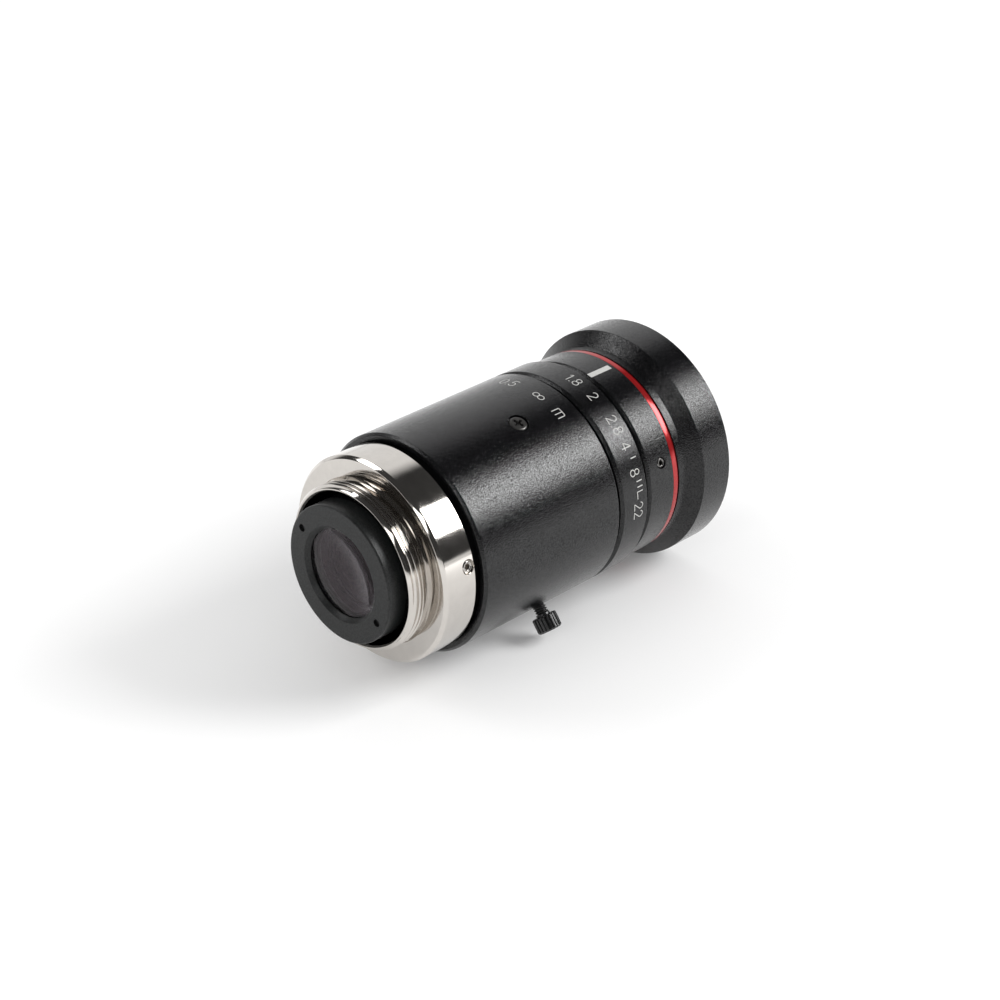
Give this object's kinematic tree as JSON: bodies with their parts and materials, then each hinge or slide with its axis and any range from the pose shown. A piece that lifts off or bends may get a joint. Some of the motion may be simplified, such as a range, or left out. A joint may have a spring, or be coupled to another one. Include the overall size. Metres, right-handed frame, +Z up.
{
  "type": "c-mount machine vision lens",
  "caption": "Fixed focal length lens with a threaded camera mount, turning focus and aperture rings, a locking screw and a bladed iris.",
  "frame": {"origin": "centre of the flange face that seats against the camera, on the optical axis", "axes": "+Y along the optical axis from the camera to the subject, +Z up with the scales on top"},
  "size_m": [0.037, 0.0636, 0.037],
  "materials": {
    "black_anodised": "satin black anodised",
    "matt_black_inner": "matt black anodised",
    "bright_nickel": "bright nickel plate",
    "red_anodised": "glossy red anodised",
    "coated_glass": "polished and coated",
    "black_steel": "black oxide",
    "blade_steel": "matt black"
  },
  "bodies": {
    "fixed_base": {"mount_base": "bright_nickel", "mount_set_screws": "black_steel", "guide_sleeve": "matt_black_inner"},
    "focus": {"focus_ring": "black_anodised", "guide_screws": "black_steel"},
    "lock_screw": {"focus_lock_screw": "black_steel"},
    "lens_unit": {"lens_barrel": "matt_black_inner", "guide_key": "black_steel", "rear_cell": "black_anodised", "rear_retainer": "black_anodised", "rear_lens": "coated_glass", "rear_spacer": "matt_black_inner", "seventh_lens": "coated_glass", "middle_spacer": "matt_black_inner", "doublet_rear": "coated_glass", "doublet_front": "coated_glass", "fourth_lens": "coated_glass", "front_group_spacer": "matt_black_inner", "third_lens": "coated_glass", "middle_retainer": "matt_black_inner", "iris_base": "matt_black_inner", "iris_retainer": "matt_black_inner", "index_ring": "black_anodised", "index_set_screws": "black_steel", "accent_ring": "red_anodised", "front_barrel": "black_anodised", "front_cell": "matt_black_inner", "second_lens": "coated_glass", "second_retainer": "matt_black_inner", "front_lens": "coated_glass", "front_retainer": "black_anodised"},
    "aperture": {"aperture_ring": "black_anodised", "iris_drive_screw": "black_steel", "iris_cam_ring": "matt_black_inner"},
    "blade_1": {"iris_blade_1": "blade_steel"},
    "blade_2": {"iris_blade_2": "blade_steel"},
    "blade_3": {"iris_blade_3": "blade_steel"},
    "blade_4": {"iris_blade_4": "blade_steel"},
    "blade_5": {"iris_blade_5": "blade_steel"},
    "blade_6": {"iris_blade_6": "blade_steel"}
  },
  "joints": [
    {"name": "focus_turn", "type": "hinge", "parent": "fixed_base", "child": "focus", "pos_m": [0, 0.0206, 0], "axis": [0, 1, 0], "range_deg": [0, 121]},
    {"name": "focus_travel", "type": "slide", "parent": "fixed_base", "child": "lens_unit", "axis": [0, 1, 0], "range_m": [0, 0.00305]},
    {"name": "lock_turn", "type": "hinge", "parent": "focus", "child": "lock_screw", "pos_m": [0.01058, 0.0241, -0.0133], "axis": [0.6225, 0, -0.7826], "range_deg": [-360, 0]},
    {"name": "aperture_turn", "type": "hinge", "parent": "lens_unit", "child": "aperture", "pos_m": [0, 0.038, 0], "axis": [0, 1, 0], "range_deg": [-68.4, 0]},
    {"name": "blade_1_pivot", "type": "hinge", "parent": "lens_unit", "child": "blade_1", "pos_m": [0, 0.0365, 0.01241], "axis": [0, 1, 0], "range_deg": [0, 25.85]},
    {"name": "blade_2_pivot", "type": "hinge", "parent": "lens_unit", "child": "blade_2", "pos_m": [0.01075, 0.0365, 0.0062], "axis": [0, 1, 0], "range_deg": [0, 25.85]},
    {"name": "blade_3_pivot", "type": "hinge", "parent": "lens_unit", "child": "blade_3", "pos_m": [0.01075, 0.0365, -0.0062], "axis": [0, 1, 0], "range_deg": [0, 25.85]},
    {"name": "blade_4_pivot", "type": "hinge", "parent": "lens_unit", "child": "blade_4", "pos_m": [0, 0.0365, -0.01241], "axis": [0, 1, 0], "range_deg": [0, 25.85]},
    {"name": "blade_5_pivot", "type": "hinge", "parent": "lens_unit", "child": "blade_5", "pos_m": [-0.01075, 0.0365, -0.0062], "axis": [0, 1, 0], "range_deg": [0, 25.85]},
    {"name": "blade_6_pivot", "type": "hinge", "parent": "lens_unit", "child": "blade_6", "pos_m": [-0.01075, 0.0365, 0.0062], "axis": [0, 1, 0], "range_deg": [0, 25.85]}
  ],
  "couplings": [
    {"joint": "focus_turn", "follows": "focus_travel", "rad_per_m": 692.41},
    {"joint": "blade_1_pivot", "follows": "aperture_turn", "ratio": -0.37781},
    {"joint": "blade_2_pivot", "follows": "aperture_turn", "ratio": -0.37781},
    {"joint": "blade_3_pivot", "follows": "aperture_turn", "ratio": -0.37781},
    {"joint": "blade_4_pivot", "follows": "aperture_turn", "ratio": -0.37781},
    {"joint": "blade_5_pivot", "follows": "aperture_turn", "ratio": -0.37781},
    {"joint": "blade_6_pivot", "follows": "aperture_turn", "ratio": -0.37781}
  ]
}
